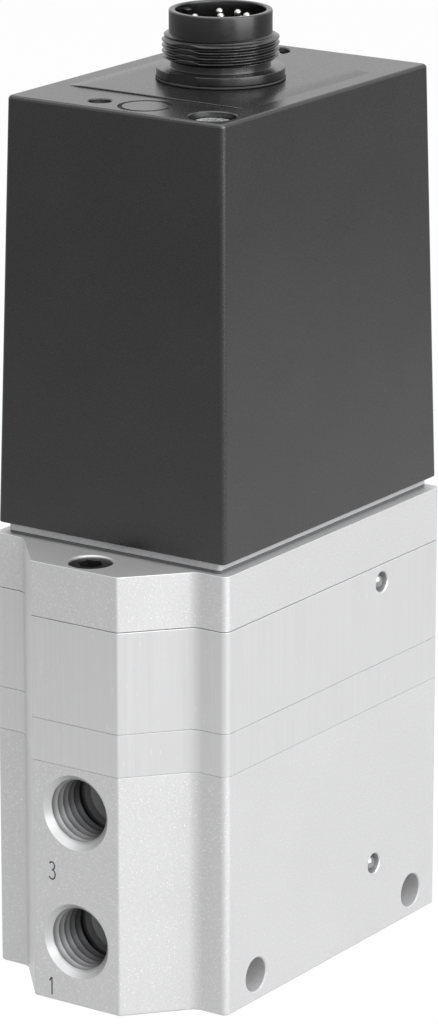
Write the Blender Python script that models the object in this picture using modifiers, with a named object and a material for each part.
"""Electro pneumatic pressure regulator: a stack of aluminium blocks under a moulded hood.

Air comes in at port 1, the poppet lets it through to port 2 at the back, and the hollow stem
vents it through port 3. A diaphragm on the stem is driven by air from two small solenoid valves,
which stand with the electronics under the hood. X runs along the front, Y to the back, Z up, and
the origin is the centre of the box around the base.
"""
import bpy
import bmesh
import math
from mathutils import Matrix, Vector

MM = 0.001

# Clearances
FIT = 0.3 * MM              # between pieces that touch or slide
SEAL_GAP = 0.05 * MM        # left round a rubber ring
JOINT = 0.12 * MM           # between the flat faces of stacked blocks
OVER = 1.0 * MM             # how far a cutter runs past the face that it opens
WELD = 0.001 * MM           # points nearer than this are one point

# Aluminium stack
BODY_WIDTH = 38.0 * MM
BODY_DEPTH = 53.0 * MM
NOSE_DEPTH = 8.0 * MM
NOSE_WIDTH = 14.0 * MM      # flat front of the nose
NOSE_ROOT_WIDTH = BODY_WIDTH - 9.8 * MM
SPACER_HEIGHT = 6.0 * MM
HOUSING_HEIGHT = 14.2 * MM
TOP_PLATE_HEIGHT = 7.6 * MM
CORNER_RADIUS = 1.0 * MM
LAND_FILLET = 2.2 * MM      # hollow curve where the nose meets the front face
NOSE_EDGE_RADIUS = 0.5 * MM

FRONT = -(BODY_DEPTH + NOSE_DEPTH) / 2 + NOSE_DEPTH
BACK = FRONT + BODY_DEPTH
NOSE = FRONT - NOSE_DEPTH
AXIS_Y = (FRONT + BACK) / 2  # the valve, the diaphragm and the plug share this axis
HALF = BODY_WIDTH / 2

# Stepped valve bore, on the valve axis
CAP_RADIUS = 8.5 * MM
CAP_DEPTH = 5.0 * MM
CAP_GROOVE = 1.0 * MM       # for the cap's seal
CAP_COLLAR = 0.7 * MM       # wall of the tube that guides the poppet
SPANNER_RADIUS = 0.9 * MM   # two holes for a pin spanner
SPANNER_DEPTH = 1.1 * MM
SPANNER_X = 4.7 * MM
CHAMBER_RADIUS = 7.0 * MM
SUPPLY_HEIGHT = 10.0 * MM    # chamber of port 1, from the cap to the seat
SEAT_RADIUS = 4.4 * MM
SEAT_THICKNESS = 2.0 * MM
OUTLET_HEIGHT = 5.0 * MM     # chamber of port 2
WEB_THICKNESS = 2.0 * MM
EXHAUST_HEIGHT = 10.0 * MM   # chamber of port 3
SEAT_Z = CAP_DEPTH + SUPPLY_HEIGHT
WEB_Z = SEAT_Z + SEAT_THICKNESS + OUTLET_HEIGHT
VALVE_BODY_HEIGHT = WEB_Z + WEB_THICKNESS + EXHAUST_HEIGHT
SPACER_Z = VALVE_BODY_HEIGHT
HOUSING_Z = SPACER_Z + SPACER_HEIGHT
TOP_PLATE_Z = HOUSING_Z + HOUSING_HEIGHT
STACK_TOP = TOP_PLATE_Z + TOP_PLATE_HEIGHT
STEM_RADIUS = 3.0 * MM
STEM_BORE_RADIUS = 1.5 * MM
STEM_NECK_RADIUS = 2.3 * MM
STEM_END = 0.8 * MM         # above the nut
STEM_SOLID = 2.0 * MM       # between the stem's bore and its neck
STEM_CROSS_RADIUS = 1.0 * MM
BUSH_WALL = 1.6 * MM
BUSH_FLANGE = 1.6 * MM
BUSH_GROOVE_DEPTH = 0.9 * MM
BUSH_GROOVE_HALF = 0.8 * MM

# Ports, G1/8
PORT_RADIUS = 4.86 * MM
PORT_MOUTH_RADIUS = 5.35 * MM
PORT_DEPTH = 9.5 * MM
PORT_DRILL_RADIUS = 2.3 * MM
PORT_1_Z = CAP_DEPTH + 4.25 * MM
PORT_2_Z = WEB_Z - OUTLET_HEIGHT / 2
PORT_3_Z = VALVE_BODY_HEIGHT - 6.4 * MM

# Holes for wall screws, through the lowest block along X
WALL_HOLE_RADIUS = 2.4 * MM
WALL_HOLE_Z = 3.8 * MM
WALL_HOLE_FRONT = FRONT + 7.2 * MM
WALL_HOLE_BACK = BACK - 6.6 * MM

# Poppet and its spring
TRAVEL = 1.4 * MM
POPPET_RADIUS = 6.0 * MM
POPPET_PIN_RADIUS = 2.0 * MM
POPPET_CUP_FLOOR = 2.9 * MM
POPPET_WALL = 0.6 * MM      # of the cup round the seal
POPPET_RIM_DROP = 0.4 * MM  # from the seal's top to the cup's rim
SEAL_THICKNESS = 0.9 * MM
SPRING_WIRE = 0.7 * MM
SPRING_RADIUS = 4.2 * MM
SPRING_TURNS = 5
SPRING_END_PITCH = 1.1      # of an end turn, against the wire
SPRING_TURN_STEPS = 8

# Diaphragm
DIAPHRAGM_THICKNESS = 0.8 * MM
DIAPHRAGM_RADIUS = HALF - 3.5 * MM
DIAPHRAGM_CHAMBER_RADIUS = DIAPHRAGM_RADIUS - 2.2 * MM
DISC_RADIUS = DIAPHRAGM_CHAMBER_RADIUS - 5.3 * MM
DISC_THICKNESS = 1.4 * MM
DISC_EDGE = 0.35 * MM
NUT_FLAT = 4.0 * MM         # half the nut's width across flats
NUT_HEIGHT = 2.2 * MM
ROLL_HEIGHT = 2.4 * MM
ROLL_MARGIN = 0.5 * MM      # flat strip on each side of the roll
ROLL_STEPS = 6
RECESS_DEPTH = 3.1 * MM     # in the spacer plate, for the lower disc
PILOT_CHAMBER_ROOF = 4.0 * MM
PILOT_CHAMBER_SLOPE = 2.0 * MM
PILOT_BORE_RADIUS = 1.5 * MM
RING_POCKET_DEPTH = 0.6 * MM  # shallow pocket for the ring round the pilot bore
RING_POCKET_RADIUS = 3.9 * MM
RING_INNER = 2.0 * MM
RING_OUTER = 3.6 * MM

# Screws that hold the stack
STACK_SCREW_RADIUS = 2.0 * MM
STACK_SCREW_HEAD_RADIUS = 3.5 * MM
STACK_SCREW_HEAD_HEIGHT = 3.6 * MM
STACK_SCREW_X = HALF - 5.6 * MM
STACK_SCREW_INSET = 5.6 * MM
STACK_SCREW_DEPTH = 13.0 * MM  # into the lowest block

# Sockets in screws and plugs, half their width across flats
HEX_STACK = 1.5 * MM
HEX_PLUG = 1.5 * MM
HEX_HOOD = 1.25 * MM
HEX_BASE = 1.0 * MM
HEX_DEPTH_SHARE = 0.6       # of a head's height
SCREW_EDGE = 0.25 * MM
TURNED_EDGE = 0.3 * MM      # on the pilot plug and the armatures

# Air channels drilled through the stack, and the balls that close their cross holes
CHANNEL_RADIUS = 0.8 * MM
CHANNEL_X = HALF - 5.0 * MM
CHANNEL_Y = BACK - 15.6 * MM
BALL_RADIUS = 1.2 * MM
BALL_BORE_RADIUS = 1.45 * MM
BALL_BORE_DEPTH = 3.2 * MM
BALL_SINK = 1.35 * MM       # ball's centre behind the face
BALL_UPPER_Z = TOP_PLATE_Z - 2.6 * MM
BALL_LOWER_Z = CAP_DEPTH + 5.8 * MM
BALL_UPPER_Y = CHANNEL_Y + 0.7 * MM
BALL_LOWER_Y = CHANNEL_Y - 0.7 * MM

# Pilot port plug in the nose's top
PILOT_PLUG_RADIUS = 2.9 * MM
PILOT_PLUG_LENGTH = 4.8 * MM
PILOT_PLUG_SINK = 0.35 * MM
PILOT_PLUG_Y = FRONT - 4.1 * MM
PILOT_MOUTH = 0.25 * MM
PILOT_SOCKET_DEPTH = 2.4 * MM

# Gasket and base plate under the hood
PLINTH_HALF_WIDTH = HALF - 1.7 * MM
PLINTH_INSET = 1.0 * MM
PLINTH_CORNER = 0.8 * MM
GASKET_THICKNESS = 0.4 * MM
LIP_THICKNESS = 0.85 * MM
STEP_HEIGHT = 2.0 * MM      # the part of the base plate that stands inside the hood
BASE_SCREW_RADIUS = 1.5 * MM
BASE_SCREW_HEAD_RADIUS = 2.75 * MM
BASE_SCREW_HEAD_HEIGHT = 1.6 * MM
BASE_SCREW_LENGTH = 7.0 * MM

# Hood
HOOD_HEIGHT = 58.45 * MM
HOOD_LEAN_X = 1.2 * MM      # how far each wall leans in over its height
HOOD_LEAN_Y = 1.5 * MM
HOOD_WIDTH_LOW = BODY_WIDTH - 1.0 * MM
HOOD_DEPTH_LOW = BODY_DEPTH - 0.3 * MM
HOOD_WIDTH_TOP = HOOD_WIDTH_LOW - 2 * HOOD_LEAN_X
HOOD_DEPTH_TOP = HOOD_DEPTH_LOW - 2 * HOOD_LEAN_Y
HOOD_WALL = 1.7 * MM
HOOD_ROOF = 2.0 * MM
HOOD_CORNER_RADIUS = 0.8 * MM
HOOD_TOP_RADIUS = 0.6 * MM
FIELD_HEIGHT = 0.2 * MM     # raised field on the roof
FIELD_HALF_WIDTH = HOOD_WIDTH_TOP / 2 - 2.9 * MM
FIELD_FRONT = FRONT + 11.5 * MM
FIELD_BACK = BACK - 11.6 * MM

# Hood screws
POCKET_RADIUS = 3.2 * MM
POCKET_DEPTH = 3.3 * MM
POCKET_WALL = 1.3 * MM
POCKET_FLOOR = 1.9 * MM
HOOD_SCREW_RADIUS = 1.4 * MM
HOOD_SCREW_HEAD_RADIUS = 2.7 * MM
HOOD_SCREW_HEAD_HEIGHT = 2.3 * MM
FRONT_SCREW = (HOOD_WIDTH_TOP / 2 - 4.4 * MM, FRONT + 5.7 * MM)
REAR_SCREW = (-6.0 * MM, BACK - 6.4 * MM)

# Light pipe
LIGHT_HOLE_RADIUS = 1.55 * MM
LIGHT_PIPE_RADIUS = 1.2 * MM
LIGHT_SINK = 0.7 * MM
LIGHT_DOME = 0.35 * MM
LIGHT = (-4.9 * MM, FRONT + 5.6 * MM)

# Round plug
PLUG_TURN = math.radians(-4.0)
TUBE_RADIUS = 6.95 * MM
TUBE_BORE_RADIUS = 6.1 * MM
FLANGE_RADIUS = 8.65 * MM
FLANGE_THICKNESS = 1.2 * MM
FLANGE_FLAT = 8.3 * MM
NECK_RADIUS = 6.75 * MM
NECK_HEIGHT = 1.15 * MM
THREAD_RADIUS = 7.9 * MM
THREAD_HEIGHT = 3.3 * MM
THREAD_FLAT = 7.55 * MM
TUBE_HEIGHT = 3.3 * MM      # above the thread
TAIL_RADIUS = 6.7 * MM      # threaded tail inside the hood
TAIL_LENGTH = 7.0 * MM
LEDGE_RADIUS = 5.0 * MM
LEDGE_THICKNESS = 1.0 * MM
PLUG_GASKET_THICKNESS = 0.3 * MM
PLUG_GASKET_RADIUS = 8.75 * MM
PLUG_NUT_FLAT = 8.5 * MM
PLUG_NUT_THICKNESS = 2.2 * MM
PLUG_EDGE = 0.25 * MM
KEY_WIDTH = 1.2 * MM
KEY_DEPTH = 0.8 * MM
INSERT_HEIGHT = 8.6 * MM
PIN_RADIUS = 0.5 * MM
PIN_CIRCLE = 3.5 * MM
PIN_SINK = 0.6 * MM         # pin tips below the plug's rim
PIN_ARC = math.radians(262.0)
PINS_ON_CIRCLE = 7
PIN_SIDES = 10
DOME_STEPS = 3              # on the tips of pins and of the light pipe

# Electronics
BOARD = 1.6 * MM
TOP_BOARD_DROP = 3.2 * MM   # from the plug's tail to the top board
TOP_BOARD_X = (3.4 * MM - HOOD_WIDTH_TOP / 2, HOOD_WIDTH_TOP / 2 - 4.0 * MM)
TOP_BOARD_Y = (FRONT + 3.8 * MM, BACK - 9.8 * MM)
TOP_BOARD_NOTCH = (FRONT_SCREW[0] - 3.4 * MM, FRONT_SCREW[1] + 3.3 * MM)
MAIN_BOARD_X = HOOD_WIDTH_TOP * 0.34
MAIN_BOARD_Y = (FRONT + 9.6 * MM, BACK - 10.0 * MM)
LED_RADIUS = 1.4 * MM
LED_HEIGHT = 2.4 * MM
LED_TIP_SHARE = 0.6         # its flat tip against its whole width
LED_SLOPE = 0.7 * MM
CHIP_SINK = 0.4 * MM        # into the board, so that board and chips are one solid
CHIPS = [                   # name, Y from the board's middle, width, level share, height, thickness
    ("controller_chip", -5.0 * MM, 10.0 * MM, 0.72, 10.0 * MM, 1.4 * MM),
    ("driver_chip", 9.0 * MM, 5.0 * MM, 0.72, 6.0 * MM, 1.4 * MM),
    ("capacitor", 9.0 * MM, 6.0 * MM, 0.9, 6.0 * MM, 4.5 * MM),
]

# Pilot valves
MANIFOLD_X = (-HOOD_WIDTH_TOP * 0.345, HOOD_WIDTH_TOP * 0.3)
MANIFOLD_Y = (AXIS_Y - BODY_DEPTH * 0.302, AXIS_Y + BODY_DEPTH * 0.302)
MANIFOLD_HEIGHT = 8.0 * MM
COIL_X = -HOOD_WIDTH_TOP * 0.1
COIL_Y = (AXIS_Y - BODY_DEPTH * 0.16, AXIS_Y + BODY_DEPTH * 0.16)
COIL_WIDTH = HOOD_WIDTH_TOP * 0.37
COIL_HEIGHT = 22.0 * MM
ARMATURE_RADIUS = 3.0 * MM
ARMATURE_LENGTH = 11.0 * MM
NOZZLE_RADIUS = 1.2 * MM
NOZZLE_HEIGHT = 1.0 * MM
COIL_CAP = 4.0 * MM         # solid end of the coil above the armature's bore
ARMATURE_WIRE = 0.5 * MM
ARMATURE_SPRING_RADIUS = 1.9 * MM
ARMATURE_SPRING_TURNS = 4
SENSOR_RADIUS = 3.0 * MM
SENSOR_HEIGHT = 9.0 * MM
SENSOR_X = HOOD_WIDTH_TOP * 0.2
SENSOR_NECK_RADIUS = 1.65 * MM
SENSOR_NECK_HEIGHT = 2.5 * MM
SOFT_EDGE = 0.4 * MM        # on moulded and turned pieces inside the hood

# Levels and places that follow from the sizes above
POPPET_TOP = SEAT_Z - FIT
POPPET_LOW = POPPET_TOP - SEAL_THICKNESS - FIT - POPPET_CUP_FLOOR
CAP_GUIDE_TOP = POPPET_LOW - TRAVEL - 2 * FIT  # under the poppet at its lowest
CLAMP_Z = HOUSING_Z - JOINT + FIT              # underside of the diaphragm's clamped rim
DIAPHRAGM_TOP = CLAMP_Z + DIAPHRAGM_THICKNESS
LOWER_DISC_LOW = CLAMP_Z - FIT - DISC_THICKNESS
NUT_LOW = DIAPHRAGM_TOP + FIT + DISC_THICKNESS + FIT
NUT_TOP = NUT_LOW + NUT_HEIGHT
BUSH_RADIUS = STEM_RADIUS + FIT + BUSH_WALL
BUSH_FLANGE_RADIUS = CHAMBER_RADIUS - FIT
GASKET_LOW = STACK_TOP + JOINT / 2
LIP_LOW = GASKET_LOW + GASKET_THICKNESS + JOINT / 2
LIP_TOP = LIP_LOW + LIP_THICKNESS
STEP_TOP = LIP_TOP + STEP_HEIGHT
HOOD_LOW = LIP_TOP + JOINT
ROOF = HOOD_LOW + HOOD_HEIGHT                  # in front of the raised field
FIELD_TOP = ROOF + FIELD_HEIGHT
FLANGE_LOW = FIELD_TOP + PLUG_GASKET_THICKNESS + JOINT
RIM = FLANGE_LOW + FLANGE_THICKNESS + NECK_HEIGHT + THREAD_HEIGHT + TUBE_HEIGHT
TAIL_LOW = FIELD_TOP - TAIL_LENGTH
INSERT_LOW = TAIL_LOW + LEDGE_THICKNESS + FIT
INSERT_TOP = INSERT_LOW + INSERT_HEIGHT
TOP_BOARD_Z = TAIL_LOW - TOP_BOARD_DROP
MANIFOLD_TOP = STEP_TOP + FIT + MANIFOLD_HEIGHT
COIL_LOW = MANIFOLD_TOP + FIT
BORE_TOP = COIL_LOW + COIL_HEIGHT - COIL_CAP
ARMATURE_TOP = MANIFOLD_TOP + ARMATURE_LENGTH
STACK_SCREW_SPOTS = [(side * STACK_SCREW_X, y)
                     for y in (FRONT + STACK_SCREW_INSET, BACK - STACK_SCREW_INSET)
                     for side in (-1, 1)]
BASE_SCREW_SPOTS = [(-HALF * 0.2, FRONT + 7.0 * MM), (HALF * 0.3, BACK - 6.2 * MM)]
HOOD_SCREW_SPOTS = [("front", FRONT_SCREW), ("rear", REAR_SCREW)]

# Roundness of turned pieces
FINE_STEPS = 28
MEDIUM_STEPS = 16
COARSE_STEPS = 8
RING_SIDES = 6              # of a rubber ring's section

PART = None
CUTTERS = None


def clear_scene():
    """Empty the scene, and make one collection for the part and one for its cutters."""
    global PART, CUTTERS
    for thing in list(bpy.data.objects):
        bpy.data.objects.remove(thing, do_unlink=True)
    PART = bpy.data.collections.new("electro_pneumatic_regulator")
    CUTTERS = bpy.data.collections.new("cutters")
    for group in (PART, CUTTERS):
        bpy.context.scene.collection.children.link(group)


def material(name, colour, roughness, metallic=0.0):
    """A Principled material with one colour."""
    made = bpy.data.materials.new(name)
    made.use_nodes = True
    shader = made.node_tree.nodes["Principled BSDF"]
    shader.inputs["Base Color"].default_value = (*colour, 1.0)
    shader.inputs["Roughness"].default_value = roughness
    shader.inputs["Metallic"].default_value = metallic
    made.diffuse_color = (*colour, 1.0)
    return made


def aluminium():
    return material("blasted aluminium", (0.62, 0.62, 0.62), 0.5, 1.0)


def black_plastic():
    return material("black plastic", (0.035, 0.035, 0.036), 0.45)


def rubber():
    return material("rubber", (0.03, 0.03, 0.03), 0.7)


def brass():
    return material("brass", (0.7, 0.5, 0.22), 0.3, 1.0)


def steel():
    return material("steel", (0.6, 0.6, 0.6), 0.25, 1.0)


def board_green():
    return material("circuit board", (0.02, 0.12, 0.05), 0.5)


def place(name, mesh, finish):
    """Put a mesh in the part's collection under its name, with its material."""
    thing = bpy.data.objects.new(name, mesh)
    if finish is None:
        thing.hide_render = True
        thing.display_type = 'WIRE'
        CUTTERS.objects.link(thing)
    else:
        mesh.materials.clear()
        mesh.materials.append(finish)
        PART.objects.link(thing)
    return thing


def rounded(corners, steps=4):
    """Points of a closed outline whose corners, each (x, y, radius), are turned into arcs."""
    points = []
    count = len(corners)
    for index, (x, y, radius) in enumerate(corners):
        here = Vector((x, y))
        before = (Vector(corners[index - 1][:2]) - here).normalized()
        after = (Vector(corners[(index + 1) % count][:2]) - here).normalized()
        if radius <= 0:
            points.append((x, y))
            continue
        half = before.angle(after) / 2
        reach = radius / math.tan(half)
        centre = here + (before + after).normalized() * radius / math.sin(half)
        first = here + before * reach - centre
        last = here + after * reach - centre
        for step in range(steps + 1):
            share = step / steps
            arm = first * math.sin((1 - share) * (math.pi - 2 * half))
            arm = arm + last * math.sin(share * (math.pi - 2 * half))
            point = centre + arm.normalized() * radius
            points.append((point.x, point.y))
    return points


def prism(name, points, low, high, finish=None):
    """A flat outline given thickness from low to high, as a closed mesh."""
    curve = bpy.data.curves.new(name, 'CURVE')
    curve.dimensions = '2D'
    curve.fill_mode = 'NONE'
    curve.extrude = (high - low) / 2
    line = curve.splines.new('POLY')
    line.points.add(len(points) - 1)
    for point, (x, y) in zip(line.points, points):
        point.co = (x, y, 0, 1)
    line.use_cyclic_u = True
    guide = bpy.data.objects.new(name + "_outline", curve)
    bpy.context.scene.collection.objects.link(guide)
    bpy.context.view_layer.update()
    seen = guide.evaluated_get(bpy.context.evaluated_depsgraph_get())
    mesh = bpy.data.meshes.new_from_object(seen)
    bpy.data.objects.remove(guide, do_unlink=True)
    form = bmesh.new()
    form.from_mesh(mesh)
    bmesh.ops.remove_doubles(form, verts=form.verts, dist=WELD)
    # a curve's own caps come as slivers, so each open end is filled with one face here
    bmesh.ops.holes_fill(form, edges=[e for e in form.edges if e.is_boundary])
    bmesh.ops.translate(form, verts=form.verts, vec=(0, 0, (low + high) / 2))
    bmesh.ops.recalc_face_normals(form, faces=form.faces)
    form.to_mesh(mesh)
    form.free()
    mesh.name = name
    return place(name, mesh, finish)


def block(name, x, y, z, finish=None):
    """A box between two values on each axis."""
    form = bmesh.new()
    bmesh.ops.create_cube(form, size=1.0)
    size = (x[1] - x[0], y[1] - y[0], z[1] - z[0])
    bmesh.ops.scale(form, verts=form.verts, vec=size)
    centre = ((x[0] + x[1]) / 2, (y[0] + y[1]) / 2, (z[0] + z[1]) / 2)
    bmesh.ops.translate(form, verts=form.verts, vec=centre)
    mesh = bpy.data.meshes.new(name)
    form.to_mesh(mesh)
    form.free()
    return place(name, mesh, finish)


def turned(name, profile, centre, steps, finish=None, turn=0.0, closed=False):
    """A turned piece: (radius, height) points down the outer side, spun about an upright axis."""
    mesh = bpy.data.meshes.new(name)
    points = [(radius, 0.0, height) for radius, height in profile]
    edges = [(index, index + 1) for index in range(len(points) - 1)]
    if closed:
        edges.append((len(points) - 1, 0))
    mesh.from_pydata(points, edges, [])
    thing = place(name, mesh, finish)
    thing.location = (centre[0], centre[1], 0.0)
    thing.rotation_euler = (0.0, 0.0, turn)
    spin = thing.modifiers.new("spin", 'SCREW')
    spin.angle = math.tau
    spin.steps = steps
    spin.render_steps = steps
    spin.use_merge_vertices = True
    spin.merge_threshold = WELD
    spin.use_smooth_shade = True
    return thing


def drill(name, axis, centre, radius, start, end, steps=MEDIUM_STEPS, end_radius=None):
    """A round cutter along X, Y or Z from start to end; centre holds the two other values."""
    if end_radius is None:
        end_radius = radius
    form = bmesh.new()
    bmesh.ops.create_cone(form, cap_ends=True, segments=steps, radius1=radius,
                          radius2=end_radius, depth=abs(end - start))
    middle = (start + end) / 2
    flip = end < start
    if axis == 'Z':
        turn = Matrix.Rotation(math.pi, 4, 'X') if flip else Matrix.Identity(4)
        spot = (centre[0], centre[1], middle)
    elif axis == 'Y':
        turn = Matrix.Rotation(math.pi / 2 if flip else -math.pi / 2, 4, 'X')
        spot = (centre[0], middle, centre[1])
    else:
        turn = Matrix.Rotation(-math.pi / 2 if flip else math.pi / 2, 4, 'Y')
        spot = (middle, centre[0], centre[1])
    form.transform(Matrix.Translation(spot) @ turn)
    mesh = bpy.data.meshes.new(name)
    form.to_mesh(mesh)
    form.free()
    return place(name, mesh, None)


def hex_outline(centre, half_width, turn=0.0):
    """Corners of a hexagon from half its width across flats."""
    reach = half_width / math.cos(math.pi / 6)
    return [(centre[0] + reach * math.cos(turn + k * math.pi / 3),
             centre[1] + reach * math.sin(turn + k * math.pi / 3)) for k in range(6)]


def combine(thing, other, operation):
    """A live Boolean with a cutter."""
    made = thing.modifiers.new(other.name, 'BOOLEAN')
    made.object = other
    made.operation = operation
    made.solver = 'EXACT'
    return thing


def cut(thing, *others):
    for other in others:
        combine(thing, other, 'DIFFERENCE')
    return thing


def join(thing, *others):
    for other in others:
        combine(thing, other, 'UNION')
    return thing


def soften(thing, width, segments=1, angle=50.0):
    """Break the sharp edges."""
    bevel = thing.modifiers.new("edges", 'BEVEL')
    bevel.width = width
    bevel.segments = segments
    bevel.limit_method = 'ANGLE'
    bevel.angle_limit = math.radians(angle)
    bevel.use_clamp_overlap = True
    return thing


def coil(name, centre, low, high, radius, wire, turns, finish):
    """A compression spring: a helix whose end turns lie flat."""
    per_turn = SPRING_TURN_STEPS
    total = turns * per_turn
    end_rise = SPRING_END_PITCH * wire
    middle_rise = high - low - wire - 2 * end_rise
    curve = bpy.data.curves.new(name, 'CURVE')
    curve.dimensions = '3D'
    curve.bevel_depth = wire / 2
    curve.bevel_resolution = 1
    curve.use_fill_caps = True
    line = curve.splines.new('POLY')
    line.points.add(total)
    for step, point in enumerate(line.points):
        angle = step * math.tau / per_turn
        first = min(step, per_turn) / per_turn
        last = max(step - (total - per_turn), 0) / per_turn
        middle = min(max(step - per_turn, 0), total - 2 * per_turn) / (total - 2 * per_turn)
        level = low + wire / 2 + end_rise * (first + last) + middle_rise * middle
        point.co = (centre[0] + radius * math.cos(angle),
                    centre[1] + radius * math.sin(angle), level, 1)
    thing = bpy.data.objects.new(name, curve)
    curve.materials.append(finish)
    PART.objects.link(thing)
    return thing


def body_outline():
    """The stack's outline from above: a rectangle with a tapered nose."""
    root = NOSE_ROOT_WIDTH / 2
    tip = NOSE_WIDTH / 2
    corners = [
        (HALF, BACK, CORNER_RADIUS), (-HALF, BACK, CORNER_RADIUS),
        (-HALF, FRONT, CORNER_RADIUS), (-root, FRONT, LAND_FILLET),
        (-tip, NOSE, NOSE_EDGE_RADIUS), (tip, NOSE, NOSE_EDGE_RADIUS),
        (root, FRONT, LAND_FILLET), (HALF, FRONT, CORNER_RADIUS),
    ]
    return rounded(corners)


def stack_block(name, low, high):
    """One aluminium block. A seam along the middle divides its flat faces, because the strips
    beside the nose lie on one line and a face across both is hard to cut."""
    thing = prism(name, body_outline(), low, high, aluminium())
    form = bmesh.new()
    form.from_mesh(thing.data)
    everything = form.verts[:] + form.edges[:] + form.faces[:]
    bmesh.ops.bisect_plane(form, geom=everything, plane_co=(0, 0, 0), plane_no=(1, 0, 0))
    form.to_mesh(thing.data)
    form.free()
    return thing


def stack_cutters(name, low, high, radius):
    return [drill(f"{name}_screw_hole_{k}", 'Z', spot, radius, low, high, COARSE_STEPS)
            for k, spot in enumerate(STACK_SCREW_SPOTS, 1)]


def channel_cutter(name, low, high, side=1):
    """The drilled air channels: supply on the right, outlet pressure on the left."""
    return drill(name, 'Z', (side * CHANNEL_X, CHANNEL_Y), CHANNEL_RADIUS, low, high, 8)


def port(name, level, front):
    """A port's threaded bore with its countersunk mouth and the drill's way to the valve bore."""
    face = NOSE if front else BACK
    inward = 1 if front else -1
    mouth = PORT_MOUTH_RADIUS - PORT_RADIUS
    reach = AXIS_Y - inward * (CHAMBER_RADIUS - OVER)
    return [
        drill(name + "_mouth", 'Y', (0, level), PORT_MOUTH_RADIUS + OVER, face - inward * OVER,
              face + inward * mouth, FINE_STEPS, PORT_RADIUS),
        drill(name + "_thread", 'Y', (0, level), PORT_RADIUS, face - inward * OVER,
              face + inward * PORT_DEPTH, FINE_STEPS),
        drill(name + "_way", 'Y', (0, level), PORT_DRILL_RADIUS,
              face + inward * (PORT_DEPTH - OVER), reach, MEDIUM_STEPS),
    ]


def ball_bore(name, y, level):
    return [
        drill(name + "_bore", 'X', (y, level), BALL_BORE_RADIUS, HALF + OVER,
              HALF - BALL_BORE_DEPTH, MEDIUM_STEPS),
        drill(name + "_cross", 'X', (y, level), CHANNEL_RADIUS, HALF - BALL_BORE_DEPTH + OVER,
              CHANNEL_X, 8),
    ]


def ball(name, y, level):
    """A steel ball pressed into the end of a drilled channel."""
    form = bmesh.new()
    bmesh.ops.create_uvsphere(form, u_segments=12, v_segments=8, radius=BALL_RADIUS)
    mesh = bpy.data.meshes.new(name)
    form.to_mesh(mesh)
    form.free()
    mesh.shade_smooth()
    thing = place(name, mesh, steel())
    thing.location = (HALF - BALL_SINK, y, level)
    return thing


def valve_body():
    """The lowest block: ports, stepped valve bore, wall screw holes."""
    body = stack_block("valve_body", 0.0, VALVE_BODY_HEIGHT - JOINT)
    spot = (0.0, AXIS_Y)
    profile = [
        (0.0, VALVE_BODY_HEIGHT + OVER), (CHAMBER_RADIUS, VALVE_BODY_HEIGHT + OVER),
        (CHAMBER_RADIUS, WEB_Z + WEB_THICKNESS), (STEM_RADIUS + FIT, WEB_Z + WEB_THICKNESS),
        (STEM_RADIUS + FIT, WEB_Z), (CHAMBER_RADIUS, WEB_Z),
        (CHAMBER_RADIUS, SEAT_Z + SEAT_THICKNESS), (SEAT_RADIUS, SEAT_Z + SEAT_THICKNESS),
        (SEAT_RADIUS, SEAT_Z), (CHAMBER_RADIUS, SEAT_Z), (CHAMBER_RADIUS, CAP_DEPTH),
        (CAP_RADIUS, CAP_DEPTH), (CAP_RADIUS, -OVER), (0.0, -OVER),
    ]
    cut(body, turned("valve_bore", profile, spot, FINE_STEPS))
    cut(body, *port("port_1", PORT_1_Z, True), *port("port_3", PORT_3_Z, True),
        *port("port_2", PORT_2_Z, False))
    for name, y in (("wall_hole_front", WALL_HOLE_FRONT), ("wall_hole_back", WALL_HOLE_BACK)):
        cut(body, drill(name, 'X', (y, WALL_HOLE_Z), WALL_HOLE_RADIUS, -HALF - OVER, HALF + OVER))
    cut(body, *ball_bore("lower_ball", BALL_LOWER_Y, BALL_LOWER_Z))
    cut(body, channel_cutter("supply_channel", BALL_LOWER_Z - CHANNEL_RADIUS,
                             VALVE_BODY_HEIGHT + OVER))
    cut(body, *stack_cutters("body", VALVE_BODY_HEIGHT - STACK_SCREW_DEPTH - OVER,
                             VALVE_BODY_HEIGHT + OVER, STACK_SCREW_RADIUS + FIT))
    return body


def bottom_cap():
    """Closes the valve bore from below, guides the poppet's pin and carries its spring."""
    top = CAP_DEPTH - FIT
    bore = POPPET_PIN_RADIUS + FIT
    groove = CAP_GROOVE
    middle = CAP_DEPTH / 2
    profile = [
        (0.0, middle), (bore, middle), (bore, CAP_GUIDE_TOP),
        (bore + CAP_COLLAR, CAP_GUIDE_TOP), (bore + CAP_COLLAR, top),
        (CAP_RADIUS - FIT, top), (CAP_RADIUS - FIT, middle + groove / 2 + FIT),
        (CAP_RADIUS - FIT - groove, middle + groove / 2 + FIT),
        (CAP_RADIUS - FIT - groove, middle - groove / 2 - FIT),
        (CAP_RADIUS - FIT, middle - groove / 2 - FIT), (CAP_RADIUS - FIT, FIT), (0.0, FIT),
    ]
    cap = turned("bottom_cap", profile, (0.0, AXIS_Y), FINE_STEPS, brass())
    for k, side in enumerate((-1, 1), 1):
        cut(cap, drill(f"spanner_hole_{k}", 'Z', (side * SPANNER_X, AXIS_Y), SPANNER_RADIUS,
                       -OVER, FIT + SPANNER_DEPTH, COARSE_STEPS))
    return cap


def ring_seal(name, level, inner, outer, centre, finish, steps=MEDIUM_STEPS, height=None):
    """A round rubber ring, as a turned section with rounded corners."""
    wire = (outer - inner) / 2
    height = wire if height is None else height / 2
    middle = (outer + inner) / 2
    section = [(middle + wire * math.cos(-a * math.tau / RING_SIDES),
                level + height * math.sin(-a * math.tau / RING_SIDES))
               for a in range(RING_SIDES)]
    return turned(name, section, centre, steps, finish, closed=True)


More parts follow.
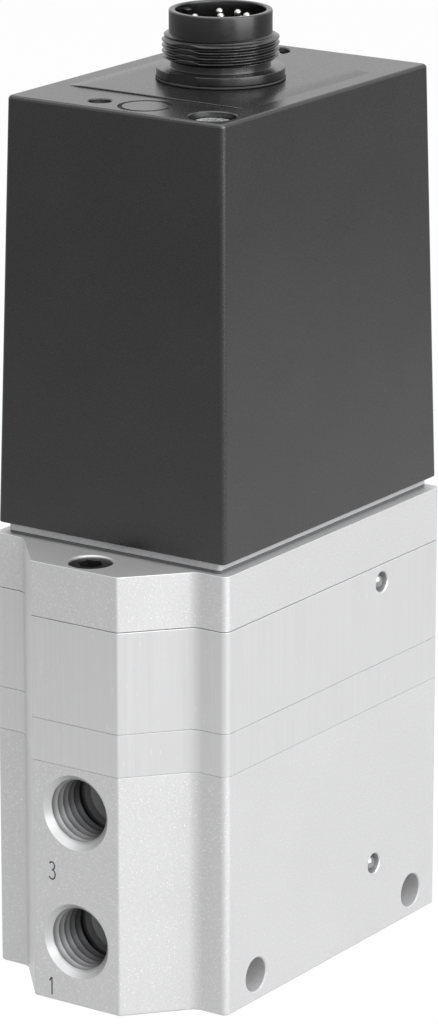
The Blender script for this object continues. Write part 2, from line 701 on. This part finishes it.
def bottom_cap_seal():
    inner = CAP_RADIUS - FIT - CAP_GROOVE + SEAL_GAP
    return ring_seal("bottom_cap_seal", CAP_DEPTH / 2, inner, CAP_RADIUS - SEAL_GAP,
                     (0.0, AXIS_Y), rubber(), FINE_STEPS)


def poppet():
    """Brass cup that carries the rubber seal, with a guide pin below."""
    top = POPPET_TOP - POPPET_RIM_DROP
    cup = POPPET_RADIUS - POPPET_WALL
    floor = POPPET_LOW + POPPET_CUP_FLOOR
    end = CAP_DEPTH / 2 + TRAVEL + FIT
    profile = [
        (0.0, floor), (cup, floor), (cup, top), (POPPET_RADIUS, top),
        (POPPET_RADIUS, POPPET_LOW), (POPPET_PIN_RADIUS, POPPET_LOW),
        (POPPET_PIN_RADIUS, end), (0.0, end),
    ]
    return turned("poppet", profile, (0.0, AXIS_Y), MEDIUM_STEPS, brass())


def poppet_seal():
    low = POPPET_LOW + POPPET_CUP_FLOOR + FIT
    outer = POPPET_RADIUS - POPPET_WALL - FIT
    profile = [(0.0, POPPET_TOP), (outer, POPPET_TOP), (outer, low), (0.0, low)]
    return turned("poppet_seal", profile, (0.0, AXIS_Y), MEDIUM_STEPS, rubber())


def valve_spring():
    return coil("valve_spring", (0.0, AXIS_Y), CAP_DEPTH, POPPET_LOW - FIT, SPRING_RADIUS,
                SPRING_WIRE, SPRING_TURNS, steel())


def spacer_plate():
    plate = stack_block("spacer_plate", SPACER_Z, HOUSING_Z - JOINT)
    floor = HOUSING_Z - RECESS_DEPTH
    profile = [
        (0.0, HOUSING_Z + OVER), (DIAPHRAGM_CHAMBER_RADIUS, HOUSING_Z + OVER),
        (DIAPHRAGM_CHAMBER_RADIUS, floor), (BUSH_RADIUS + FIT, floor),
        (BUSH_RADIUS + FIT, SPACER_Z - OVER), (0.0, SPACER_Z - OVER),
    ]
    cut(plate, turned("spacer_bore", profile, (0.0, AXIS_Y), FINE_STEPS))
    cut(plate, channel_cutter("spacer_channel", SPACER_Z - OVER, HOUSING_Z + OVER))
    cut(plate, *stack_cutters("spacer", SPACER_Z - OVER, HOUSING_Z + OVER, STACK_SCREW_RADIUS + FIT))
    return plate


def guide_bush():
    """Bush for the stem, held by its flange under the spacer plate."""
    bore = STEM_RADIUS + FIT
    top = HOUSING_Z - RECESS_DEPTH - FIT
    flange_top = SPACER_Z - JOINT - FIT
    flange_low = flange_top - BUSH_FLANGE
    seat = bore + BUSH_GROOVE_DEPTH
    middle = SPACER_Z
    gap = BUSH_GROOVE_HALF
    profile = [
        (bore, top), (BUSH_RADIUS, top), (BUSH_RADIUS, flange_top),
        (BUSH_FLANGE_RADIUS, flange_top), (BUSH_FLANGE_RADIUS, flange_low),
        (bore, flange_low), (bore, middle - gap), (seat, middle - gap),
        (seat, middle + gap), (bore, middle + gap),
    ]
    return turned("guide_bush", profile, (0.0, AXIS_Y), MEDIUM_STEPS, brass(), closed=True)


def stem_seal():
    outer = STEM_RADIUS + FIT + BUSH_GROOVE_DEPTH - 2 * SEAL_GAP
    return ring_seal("stem_seal", SPACER_Z, STEM_RADIUS + 2 * SEAL_GAP, outer, (0.0, AXIS_Y),
                     rubber())


def control_stem():
    """Hollow stem: its lower end meets the poppet, its cross holes open into the exhaust."""
    step = LOWER_DISC_LOW - FIT
    top = NUT_TOP + STEM_END
    low = SEAT_Z
    ceiling = step - STEM_SOLID
    profile = [
        (0.0, top), (STEM_NECK_RADIUS, top), (STEM_NECK_RADIUS, step), (STEM_RADIUS, step),
        (STEM_RADIUS, low), (STEM_BORE_RADIUS, low), (STEM_BORE_RADIUS, ceiling), (0.0, ceiling),
    ]
    stem = turned("control_stem", profile, (0.0, AXIS_Y), MEDIUM_STEPS, steel())
    cross = (WEB_Z + WEB_THICKNESS + PORT_3_Z) / 2 + TRAVEL
    return cut(stem, drill("stem_cross_hole", 'X', (AXIS_Y, cross), STEM_CROSS_RADIUS,
                           -STEM_RADIUS - OVER, STEM_RADIUS + OVER, COARSE_STEPS))


def disc(name, low, high):
    """Round plate that backs the diaphragm, with a softened outer edge."""
    bore = STEM_NECK_RADIUS + FIT
    edge = DISC_EDGE
    profile = [
        (bore, high), (DISC_RADIUS - edge, high), (DISC_RADIUS, high - edge),
        (DISC_RADIUS, low + edge), (DISC_RADIUS - edge, low), (bore, low),
    ]
    return turned(name, profile, (0.0, AXIS_Y), FINE_STEPS, aluminium(), closed=True)


def stem_nut():
    spot = (0.0, AXIS_Y)
    nut = prism("stem_nut", hex_outline(spot, NUT_FLAT), NUT_LOW, NUT_TOP, steel())
    return cut(nut, drill("nut_bore", 'Z', spot, STEM_NECK_RADIUS + FIT, NUT_LOW - OVER,
                          NUT_TOP + OVER, MEDIUM_STEPS))


def diaphragm():
    """Rubber diaphragm with one round roll between its clamped rim and the discs."""
    low = CLAMP_Z
    inner = STEM_NECK_RADIUS + FIT
    first = DISC_RADIUS + ROLL_MARGIN
    last = DIAPHRAGM_CHAMBER_RADIUS - ROLL_MARGIN
    steps = ROLL_STEPS
    roll = [(last + (first - last) * k / steps, ROLL_HEIGHT * math.sin(math.pi * k / steps))
            for k in range(1, steps)]
    top = [(radius, DIAPHRAGM_TOP + rise) for radius, rise in reversed(roll)]
    below = [(radius, low + rise) for radius, rise in roll]
    profile = [(inner, DIAPHRAGM_TOP), (first, DIAPHRAGM_TOP)] + top
    profile += [(last, DIAPHRAGM_TOP), (DIAPHRAGM_RADIUS, DIAPHRAGM_TOP),
                (DIAPHRAGM_RADIUS, low), (last, low)] + below + [(first, low), (inner, low)]
    return turned("diaphragm", profile, (0.0, AXIS_Y), MEDIUM_STEPS, rubber(), closed=True)


def diaphragm_housing():
    housing = stack_block("diaphragm_housing", HOUSING_Z, TOP_PLATE_Z - JOINT)
    rim = DIAPHRAGM_TOP + FIT
    ceiling = TOP_PLATE_Z - PILOT_CHAMBER_ROOF
    slope = PILOT_CHAMBER_SLOPE
    profile = [
        (0.0, TOP_PLATE_Z + OVER), (PILOT_BORE_RADIUS, TOP_PLATE_Z + OVER),
        (PILOT_BORE_RADIUS, ceiling), (DIAPHRAGM_CHAMBER_RADIUS - slope, ceiling),
        (DIAPHRAGM_CHAMBER_RADIUS, ceiling - slope), (DIAPHRAGM_CHAMBER_RADIUS, rim),
        (DIAPHRAGM_RADIUS + FIT, rim), (DIAPHRAGM_RADIUS + FIT, HOUSING_Z - OVER),
        (0.0, HOUSING_Z - OVER),
    ]
    cut(housing, turned("housing_bore", profile, (0.0, AXIS_Y), FINE_STEPS))
    cut(housing, *ball_bore("upper_ball", BALL_UPPER_Y, BALL_UPPER_Z))
    cut(housing, channel_cutter("housing_channel", HOUSING_Z - OVER, TOP_PLATE_Z + OVER))
    cut(housing, *stack_cutters("housing", HOUSING_Z - OVER, TOP_PLATE_Z + OVER,
                                STACK_SCREW_RADIUS + FIT))
    return housing


def housing_gasket():
    """Rubber ring in a shallow pocket of the top plate, round the pilot bore."""
    low = TOP_PLATE_Z
    level = low + RING_POCKET_DEPTH / 2
    return ring_seal("housing_gasket", level, RING_INNER,
                     RING_OUTER, (0.0, AXIS_Y), rubber(), MEDIUM_STEPS,
                     RING_POCKET_DEPTH - 2 * SEAL_GAP)


def top_plate():
    plate = stack_block("top_plate", TOP_PLATE_Z, STACK_TOP)
    spot = (0.0, AXIS_Y)
    pocket = TOP_PLATE_Z + RING_POCKET_DEPTH
    profile = [
        (0.0, STACK_TOP + OVER), (PILOT_BORE_RADIUS, STACK_TOP + OVER), (PILOT_BORE_RADIUS, pocket),
        (RING_POCKET_RADIUS, pocket), (RING_POCKET_RADIUS, TOP_PLATE_Z - OVER),
        (0.0, TOP_PLATE_Z - OVER),
    ]
    cut(plate, turned("top_bore", profile, spot, MEDIUM_STEPS))
    cut(plate, *pilot_port())
    cut(plate, channel_cutter("top_channel", TOP_PLATE_Z - OVER, STACK_TOP + OVER))
    cut(plate, *stack_cutters("top", TOP_PLATE_Z - OVER, STACK_TOP + OVER, STACK_SCREW_RADIUS + FIT))
    heads = STACK_TOP - STACK_SCREW_HEAD_HEIGHT - 2 * FIT
    for k, head in enumerate(STACK_SCREW_SPOTS, 1):
        cut(plate, drill(f"top_head_{k}", 'Z', head, STACK_SCREW_HEAD_RADIUS + FIT, heads,
                         STACK_TOP + OVER, MEDIUM_STEPS))
    for k, hole in enumerate(BASE_SCREW_SPOTS, 1):
        cut(plate, drill(f"top_base_screw_{k}", 'Z', hole, BASE_SCREW_RADIUS + FIT,
                         LIP_TOP - BASE_SCREW_LENGTH - FIT, STACK_TOP + OVER, COARSE_STEPS))
    return plate


def pilot_port():
    spot = (0.0, PILOT_PLUG_Y)
    radius = PILOT_PLUG_RADIUS + JOINT
    low = STACK_TOP - PILOT_PLUG_SINK - PILOT_PLUG_LENGTH - FIT
    return [
        drill("pilot_port", 'Z', spot, radius, low, STACK_TOP + OVER, FINE_STEPS),
        drill("pilot_mouth", 'Z', spot, radius, STACK_TOP - PILOT_MOUTH, STACK_TOP + PILOT_MOUTH,
              FINE_STEPS, radius + 2 * PILOT_MOUTH),
    ]


def pilot_plug():
    top = STACK_TOP - PILOT_PLUG_SINK
    low = top - PILOT_PLUG_LENGTH
    edge = TURNED_EDGE
    profile = [
        (0.0, top), (PILOT_PLUG_RADIUS - edge, top), (PILOT_PLUG_RADIUS, top - edge),
        (PILOT_PLUG_RADIUS, low + edge), (PILOT_PLUG_RADIUS - edge, low), (0.0, low),
    ]
    spot = (0.0, PILOT_PLUG_Y)
    plug = turned("pilot_plug", profile, spot, FINE_STEPS, black_plastic())
    socket = prism("pilot_socket", hex_outline(spot, HEX_PLUG), top - PILOT_SOCKET_DEPTH,
                   top + OVER)
    return cut(plug, socket)


def screw(name, spot, head_top, head_height, head_radius, radius, tip, half_hex):
    """Socket head screw: a turned head and shank with a hexagon pressed into the head."""
    seat = head_top - head_height
    edge = SCREW_EDGE
    profile = [
        (0.0, head_top), (head_radius - edge, head_top), (head_radius, head_top - edge),
        (head_radius, seat), (radius, seat), (radius, tip + 2 * edge), (radius - edge, tip),
        (0.0, tip),
    ]
    thing = turned(name, profile, spot, MEDIUM_STEPS, steel())
    socket = prism(name + "_socket", hex_outline(spot, half_hex), head_top - head_height * HEX_DEPTH_SHARE,
                   head_top + OVER)
    return cut(thing, socket)


def stack_screws():
    tip = VALVE_BODY_HEIGHT - STACK_SCREW_DEPTH
    return [screw(f"body_screw_{k}", spot, STACK_TOP - FIT, STACK_SCREW_HEAD_HEIGHT,
                  STACK_SCREW_HEAD_RADIUS, STACK_SCREW_RADIUS, tip, HEX_STACK)
            for k, spot in enumerate(STACK_SCREW_SPOTS, 1)]


def plinth_outline(half_width, half_depth):
    """Rectangle with round corners, centred on the valve axis."""
    front = AXIS_Y - half_depth
    back = AXIS_Y + half_depth
    radius = PLINTH_CORNER
    return rounded([(half_width, back, radius), (-half_width, back, radius),
                    (-half_width, front, radius), (half_width, front, radius)])


def lip_outline():
    return plinth_outline(PLINTH_HALF_WIDTH, BODY_DEPTH / 2 - PLINTH_INSET)


def step_outline():
    """The base plate's raised step: inside the hood's wall by the fit."""
    share = STEP_HEIGHT / HOOD_HEIGHT
    width = HOOD_WIDTH_LOW + (HOOD_WIDTH_TOP - HOOD_WIDTH_LOW) * share
    depth = HOOD_DEPTH_LOW + (HOOD_DEPTH_TOP - HOOD_DEPTH_LOW) * share
    inset = HOOD_WALL + FIT
    return plinth_outline(width / 2 - inset, depth / 2 - inset)


def base_gasket():
    gasket = prism("base_gasket", lip_outline(), GASKET_LOW, LIP_LOW - JOINT / 2, rubber())
    cut(gasket, drill("gasket_bore", 'Z', (0.0, AXIS_Y), PILOT_BORE_RADIUS, STACK_TOP - OVER,
                      LIP_TOP + OVER))
    cut(gasket, channel_cutter("gasket_channel", STACK_TOP - OVER, LIP_TOP + OVER))
    for k, spot in enumerate(BASE_SCREW_SPOTS, 1):
        cut(gasket, drill(f"gasket_screw_{k}", 'Z', spot, BASE_SCREW_RADIUS + FIT, STACK_TOP - OVER,
                          LIP_TOP + OVER, COARSE_STEPS))
    return gasket


def base_plate():
    """Aluminium plate: its lip carries the hood, its raised step keeps the hood in place."""
    plate = prism("base_plate", lip_outline(), LIP_LOW, LIP_TOP, aluminium())
    join(plate, prism("base_step", step_outline(), LIP_LOW + LIP_THICKNESS / 2, STEP_TOP))
    cut(plate, drill("base_bore", 'Z', (0.0, AXIS_Y), PILOT_BORE_RADIUS, LIP_LOW - OVER,
                     STEP_TOP + OVER))
    for k, spot in enumerate(BASE_SCREW_SPOTS, 1):
        head = BASE_SCREW_HEAD_HEIGHT + FIT
        cut(plate, drill(f"base_screw_hole_{k}", 'Z', spot, BASE_SCREW_RADIUS + FIT,
                         LIP_LOW - OVER, STEP_TOP + OVER, COARSE_STEPS))
        cut(plate, drill(f"base_screw_seat_{k}", 'Z', spot, BASE_SCREW_HEAD_RADIUS + FIT,
                         STEP_TOP - head, STEP_TOP + OVER, MEDIUM_STEPS))
    for name, spot in HOOD_SCREW_SPOTS:
        cut(plate, drill(f"base_hood_hole_{name}", 'Z', spot, HOOD_SCREW_RADIUS + FIT,
                         LIP_LOW + FIT, STEP_TOP + OVER, COARSE_STEPS))
    return plate


def base_screws():
    return [screw(f"base_screw_{k}", spot, STEP_TOP - FIT / 2, BASE_SCREW_HEAD_HEIGHT,
                  BASE_SCREW_HEAD_RADIUS, BASE_SCREW_RADIUS,
                  STEP_TOP - STEP_HEIGHT - BASE_SCREW_LENGTH, HEX_BASE)
            for k, spot in enumerate(BASE_SCREW_SPOTS, 1)]


def tapered(name, low_size, top_size, low, high, corner, edge, finish=None, segments=3):
    """A block whose walls lean in, with rounded upright edges and a rounded top edge."""
    form = bmesh.new()
    bmesh.ops.create_cube(form, size=1.0)
    for vert in form.verts:
        size = top_size if vert.co.z > 0 else low_size
        level = high if vert.co.z > 0 else low
        vert.co = (vert.co.x * size[0], vert.co.y * size[1] + AXIS_Y, level)
    upright = [e for e in form.edges if abs(e.verts[0].co.z - e.verts[1].co.z) > MM]
    bmesh.ops.bevel(form, geom=upright, offset=corner, segments=segments, profile=0.5,
                    affect='EDGES')
    if edge > 0:
        rim = [e for e in form.edges if min(v.co.z for v in e.verts) > high - WELD]
        bmesh.ops.bevel(form, geom=rim, offset=edge, segments=segments, profile=0.5,
                        affect='EDGES')
    bmesh.ops.recalc_face_normals(form, faces=form.faces)
    mesh = bpy.data.meshes.new(name)
    form.to_mesh(mesh)
    form.free()
    return place(name, mesh, finish)


def electronics_cover():
    """Moulded hood: leaning walls, a roof with a raised field, pockets and holes."""
    low = HOOD_LOW
    top = ROOF
    hood = tapered("electronics_cover", (HOOD_WIDTH_LOW, HOOD_DEPTH_LOW),
                   (HOOD_WIDTH_TOP, HOOD_DEPTH_TOP), low, top, HOOD_CORNER_RADIUS,
                   HOOD_TOP_RADIUS, black_plastic())
    inner_low = (HOOD_WIDTH_LOW - 2 * HOOD_WALL, HOOD_DEPTH_LOW - 2 * HOOD_WALL)
    inner_top = (HOOD_WIDTH_TOP - 2 * HOOD_WALL, HOOD_DEPTH_TOP - 2 * HOOD_WALL)
    under = low - OVER
    cut(hood, tapered("hood_inside", inner_low, inner_top, under, top - HOOD_ROOF,
                      HOOD_CORNER_RADIUS, 0.0, segments=1))
    for name, spot in HOOD_SCREW_SPOTS:
        post = drill(f"pocket_post_{name}", 'Z', spot, POCKET_RADIUS + POCKET_WALL,
                     top - POCKET_DEPTH - POCKET_FLOOR, top - HOOD_ROOF / 2, MEDIUM_STEPS)
        join(hood, post)
        cut(post, outside_of_hood(name))
    join(hood, block("field", (-FIELD_HALF_WIDTH, FIELD_HALF_WIDTH), (FIELD_FRONT, FIELD_BACK),
                     (top - HOOD_ROOF / 2, top + FIELD_HEIGHT)))
    for name, spot in HOOD_SCREW_SPOTS:
        cut(hood, drill(f"pocket_{name}", 'Z', spot, POCKET_RADIUS, top - POCKET_DEPTH, top + OVER,
                        MEDIUM_STEPS))
        cut(hood, drill(f"pocket_hole_{name}", 'Z', spot, HOOD_SCREW_RADIUS + FIT,
                        top - POCKET_DEPTH - POCKET_FLOOR - OVER, top, COARSE_STEPS))
    cut(hood, drill("light_hole", 'Z', LIGHT, LIGHT_HOLE_RADIUS, top - HOOD_ROOF - OVER, top + OVER))
    cut(hood, drill("plug_hole", 'Z', (0.0, AXIS_Y), TAIL_RADIUS + FIT, top - HOOD_ROOF - OVER,
                    top + OVER, FINE_STEPS))
    return hood


def outside_of_hood(name):
    """Frame-shaped cutter that trims a screw post to the middle of the hood's wall."""
    top = ROOF
    low = top - 2 * (POCKET_DEPTH + POCKET_FLOOR)
    reach = HOOD_DEPTH_LOW
    frame = block(f"trim_{name}", (-reach, reach), (AXIS_Y - reach, AXIS_Y + reach), (low, top))
    wall = HOOD_WALL
    keep = tapered(f"keep_{name}", (HOOD_WIDTH_TOP - wall, HOOD_DEPTH_TOP - wall),
                   (HOOD_WIDTH_TOP - wall, HOOD_DEPTH_TOP - wall), low - OVER, top + OVER,
                   HOOD_CORNER_RADIUS, 0.0, segments=1)
    return cut(frame, keep)


def hood_screws():
    top = ROOF - POCKET_DEPTH + FIT + HOOD_SCREW_HEAD_HEIGHT
    return [screw(f"cover_screw_{name}", spot, top, HOOD_SCREW_HEAD_HEIGHT,
                  HOOD_SCREW_HEAD_RADIUS, HOOD_SCREW_RADIUS, LIP_LOW + 2 * FIT, HEX_HOOD)
            for name, spot in HOOD_SCREW_SPOTS]


def plug_gasket():
    low = FIELD_TOP + JOINT / 2
    high = low + PLUG_GASKET_THICKNESS
    outer = PLUG_GASKET_RADIUS
    inner = TAIL_RADIUS + FIT
    profile = [(inner, high), (outer, high), (outer, low), (inner, low)]
    return turned("plug_gasket", profile, (0.0, AXIS_Y), FINE_STEPS, rubber(), closed=True)


def flats(name, flat, low, high):
    """Two blocks that mill flats on the plug, facing the front and the back."""
    reach = 2 * FLANGE_RADIUS
    made = []
    for side, y in (("front", -1), ("back", 1)):
        ends = sorted((y * flat, y * reach))
        tool = block(f"{name}_{side}", (-reach, reach), ends, (low, high))
        tool.location = (0.0, AXIS_Y, 0.0)
        tool.rotation_euler = (0.0, 0.0, PLUG_TURN)
        made.append(tool)
    return made


def plug_shell():
    """The plug's black shell: flange, thread, tube, and the threaded tail inside the hood."""
    base = FLANGE_LOW
    flange = base + FLANGE_THICKNESS
    neck = flange + NECK_HEIGHT
    thread = neck + THREAD_HEIGHT
    top = RIM
    edge = PLUG_EDGE
    profile = [
        (TUBE_BORE_RADIUS, top - edge), (TUBE_BORE_RADIUS + edge, top), (TUBE_RADIUS - edge, top),
        (TUBE_RADIUS, top - edge), (TUBE_RADIUS, thread), (THREAD_RADIUS - edge, thread),
        (THREAD_RADIUS, thread - edge), (THREAD_RADIUS, neck + edge), (THREAD_RADIUS - edge, neck),
        (NECK_RADIUS, neck), (NECK_RADIUS, flange), (FLANGE_RADIUS - edge, flange),
        (FLANGE_RADIUS, flange - edge), (FLANGE_RADIUS, base), (TAIL_RADIUS, base),
        (TAIL_RADIUS, TAIL_LOW), (LEDGE_RADIUS, TAIL_LOW),
        (LEDGE_RADIUS, TAIL_LOW + LEDGE_THICKNESS), (TUBE_BORE_RADIUS, TAIL_LOW + LEDGE_THICKNESS),
    ]
    shell = turned("plug_shell", profile, (0.0, AXIS_Y), FINE_STEPS, black_plastic(), PLUG_TURN, True)
    cut(shell, *flats("thread_flat", THREAD_FLAT, neck - NECK_HEIGHT / 2, thread + OVER / 2))
    cut(shell, *flats("flange_flat", FLANGE_FLAT, base - OVER / 2, neck - NECK_HEIGHT / 2))
    key = block("key", (-TUBE_BORE_RADIUS - edge, -TUBE_BORE_RADIUS + KEY_DEPTH),
                (-KEY_WIDTH / 2, KEY_WIDTH / 2), (INSERT_TOP + FIT, top - edge * 2))
    key.location = (0.0, AXIS_Y, 0.0)
    key.rotation_euler = (0.0, 0.0, PLUG_TURN)
    return join(shell, key)


def pin_spots():
    """Seven pins round a circle with its open side to the left, and one in the middle."""
    spots = []
    first = math.pi + PLUG_TURN + (math.tau - PIN_ARC) / 2
    for k in range(PINS_ON_CIRCLE):
        angle = first + PIN_ARC * k / (PINS_ON_CIRCLE - 1)
        spots.append((PIN_CIRCLE * math.cos(angle), AXIS_Y + PIN_CIRCLE * math.sin(angle)))
    spots.append((0.0, AXIS_Y))
    return spots


def plug_insert():
    """Insulating disc that carries the pins."""
    outer = TUBE_BORE_RADIUS - FIT
    low = INSERT_LOW
    top = INSERT_TOP
    profile = [(0.0, top), (outer, top), (outer, low), (0.0, low)]
    insert = turned("plug_insert", profile, (0.0, AXIS_Y), FINE_STEPS, black_plastic())
    for k, spot in enumerate(pin_spots(), 1):
        cut(insert, drill(f"insert_hole_{k}", 'Z', spot, PIN_RADIUS + FIT / 2, low - OVER, top + OVER,
                          COARSE_STEPS))
    return insert


def contact_pins():
    """Silvered pins with domed tips, soldered into the top board at their lower ends."""
    top = RIM - PIN_SINK
    low = TOP_BOARD_Z - FIT
    dome = DOME_STEPS
    tip = [(PIN_RADIUS * math.sin(k * math.pi / 2 / dome),
            top - PIN_RADIUS * (1 - math.cos(k * math.pi / 2 / dome))) for k in range(dome + 1)]
    profile = tip + [(PIN_RADIUS, low), (0.0, low)]
    return [turned(f"contact_pin_{k}", profile, spot, PIN_SIDES, steel())
            for k, spot in enumerate(pin_spots(), 1)]


def plug_nut():
    spot = (0.0, AXIS_Y)
    high = ROOF - HOOD_ROOF - FIT
    low = high - PLUG_NUT_THICKNESS
    nut = prism("plug_nut", hex_outline(spot, PLUG_NUT_FLAT), low, high, brass())
    return cut(nut, drill("plug_nut_bore", 'Z', spot, TAIL_RADIUS + FIT, low - OVER, high + OVER,
                          FINE_STEPS))


def light_pipe():
    """Clear lens over the indicator, domed at its top."""
    top = ROOF - LIGHT_SINK
    low = TOP_BOARD_Z + BOARD + LED_HEIGHT + 2 * FIT
    rise = LIGHT_DOME
    steps = DOME_STEPS
    dome = [(LIGHT_PIPE_RADIUS * math.sin(k * math.pi / 2 / steps),
             top - rise * (1 - math.cos(k * math.pi / 2 / steps))) for k in range(steps + 1)]
    clear = material("clear plastic", (0.8, 0.85, 0.8), 0.1)
    return turned("light_pipe", dome + [(LIGHT_PIPE_RADIUS, low), (0.0, low)], LIGHT, MEDIUM_STEPS,
                  clear)


def top_board():
    """Board under the roof: the plug's pins and the indicator are soldered to it."""
    low = TOP_BOARD_Z
    board = block("top_board", TOP_BOARD_X, TOP_BOARD_Y, (low, low + BOARD), board_green())
    cut(board, block("board_notch", (TOP_BOARD_NOTCH[0], HALF),
                     (FRONT, TOP_BOARD_NOTCH[1]), (low - OVER, low + BOARD + OVER)))
    for k, spot in enumerate(pin_spots(), 1):
        cut(board, drill(f"board_hole_{k}", 'Z', spot, PIN_RADIUS + FIT / 2, low - OVER,
                         low + BOARD + OVER, COARSE_STEPS))
    return board


def indicator_led():
    low = TOP_BOARD_Z + BOARD + FIT
    high = low + LED_HEIGHT
    profile = [(0.0, high), (LED_RADIUS * LED_TIP_SHARE, high), (LED_RADIUS, high - LED_SLOPE),
               (LED_RADIUS, low), (0.0, low)]
    green = material("indicator", (0.1, 0.5, 0.15), 0.3)
    return turned("indicator_led", profile, LIGHT, COARSE_STEPS, green)


def main_board():
    """Upright board with its larger components, from the base plate to the top board."""
    low = STEP_TOP + FIT
    high = TOP_BOARD_Z - FIT
    board = block("main_board", (MAIN_BOARD_X, MAIN_BOARD_X + BOARD), MAIN_BOARD_Y, (low, high),
                  board_green())
    middle = (MAIN_BOARD_Y[0] + MAIN_BOARD_Y[1]) / 2
    for name, offset, wide, share, tall, out in CHIPS:
        y = middle + offset
        z = low + (high - low) * share
        join(board, block(name, (MAIN_BOARD_X - out, MAIN_BOARD_X + CHIP_SINK),
                          (y - wide / 2, y + wide / 2), (z - tall / 2, z + tall / 2)))
    return board


def pilot_manifold():
    """Block that joins the two pilot valves and the sensor to the pilot bore."""
    low = STEP_TOP + FIT
    top = MANIFOLD_TOP
    manifold = block("pilot_manifold", MANIFOLD_X, MANIFOLD_Y, (low, top), black_plastic())
    soften(manifold, SOFT_EDGE)
    cut(manifold, drill("manifold_bore", 'Z', (0.0, AXIS_Y), PILOT_BORE_RADIUS, low - OVER,
                      low + MANIFOLD_HEIGHT / 2, COARSE_STEPS))
    for k, y in enumerate(COIL_Y, 1):
        spot = (COIL_X, y)
        cut(manifold, drill(f"nozzle_pocket_{k}", 'Z', spot, ARMATURE_RADIUS + FIT,
                          top - NOZZLE_HEIGHT - FIT, top + OVER, MEDIUM_STEPS))
        join(manifold, drill(f"nozzle_{k}", 'Z', spot, NOZZLE_RADIUS, top - 2 * NOZZLE_HEIGHT,
                           top - FIT, COARSE_STEPS))
        cut(manifold, drill(f"nozzle_bore_{k}", 'Z', spot, NOZZLE_RADIUS / 2, top - MANIFOLD_HEIGHT / 2,
                          top + OVER, 8))
    return manifold


def pilot_coils():
    """Moulded coils; each has a blind bore for its armature."""
    made = []
    half = COIL_WIDTH / 2
    for k, y in enumerate(COIL_Y, 1):
        body = block(f"pilot_coil_{k}", (COIL_X - half, COIL_X + half), (y - half, y + half),
                     (COIL_LOW, COIL_LOW + COIL_HEIGHT), black_plastic())
        soften(body, 2 * SOFT_EDGE, 2)
        cut(body, drill(f"coil_bore_{k}", 'Z', (COIL_X, y), ARMATURE_RADIUS + FIT,
                        COIL_LOW - OVER, BORE_TOP, MEDIUM_STEPS))
        made.append(body)
    return made


def pilot_armatures():
    edge = TURNED_EDGE
    low = MANIFOLD_TOP
    top = ARMATURE_TOP
    profile = [
        (0.0, top), (ARMATURE_RADIUS - edge, top), (ARMATURE_RADIUS, top - edge),
        (ARMATURE_RADIUS, low + edge), (ARMATURE_RADIUS - edge, low), (0.0, low),
    ]
    return [turned(f"pilot_armature_{k}", profile, (COIL_X, y), MEDIUM_STEPS, steel())
            for k, y in enumerate(COIL_Y, 1)]


def armature_springs():
    return [coil(f"armature_spring_{k}", (COIL_X, y), ARMATURE_TOP + FIT, BORE_TOP - FIT,
                 ARMATURE_SPRING_RADIUS, ARMATURE_WIRE, ARMATURE_SPRING_TURNS, steel())
            for k, y in enumerate(COIL_Y, 1)]


def pressure_sensor():
    low = MANIFOLD_TOP + FIT
    high = low + SENSOR_HEIGHT
    neck = SENSOR_NECK_RADIUS
    shoulder = high - SENSOR_NECK_HEIGHT
    edge = SOFT_EDGE
    profile = [
        (0.0, high), (neck, high), (neck, shoulder), (SENSOR_RADIUS - edge, shoulder),
        (SENSOR_RADIUS, shoulder - edge), (SENSOR_RADIUS, low), (0.0, low),
    ]
    return turned("pressure_sensor", profile, (SENSOR_X, AXIS_Y), MEDIUM_STEPS, steel())


def main():
    clear_scene()
    valve_body()
    bottom_cap()
    bottom_cap_seal()
    poppet()
    poppet_seal()
    valve_spring()
    spacer_plate()
    guide_bush()
    stem_seal()
    control_stem()
    disc("lower_disc", LOWER_DISC_LOW, LOWER_DISC_LOW + DISC_THICKNESS)
    disc("upper_disc", DIAPHRAGM_TOP + FIT, DIAPHRAGM_TOP + FIT + DISC_THICKNESS)
    stem_nut()
    diaphragm()
    diaphragm_housing()
    housing_gasket()
    top_plate()
    stack_screws()
    pilot_plug()
    ball("ball_plug_upper", BALL_UPPER_Y, BALL_UPPER_Z)
    ball("ball_plug_lower", BALL_LOWER_Y, BALL_LOWER_Z)
    base_gasket()
    base_plate()
    base_screws()
    electronics_cover()
    hood_screws()
    plug_gasket()
    plug_shell()
    plug_insert()
    contact_pins()
    plug_nut()
    light_pipe()
    top_board()
    indicator_led()
    main_board()
    pilot_manifold()
    pilot_coils()
    pilot_armatures()
    armature_springs()
    pressure_sensor()
    bpy.context.view_layer.update()


main()
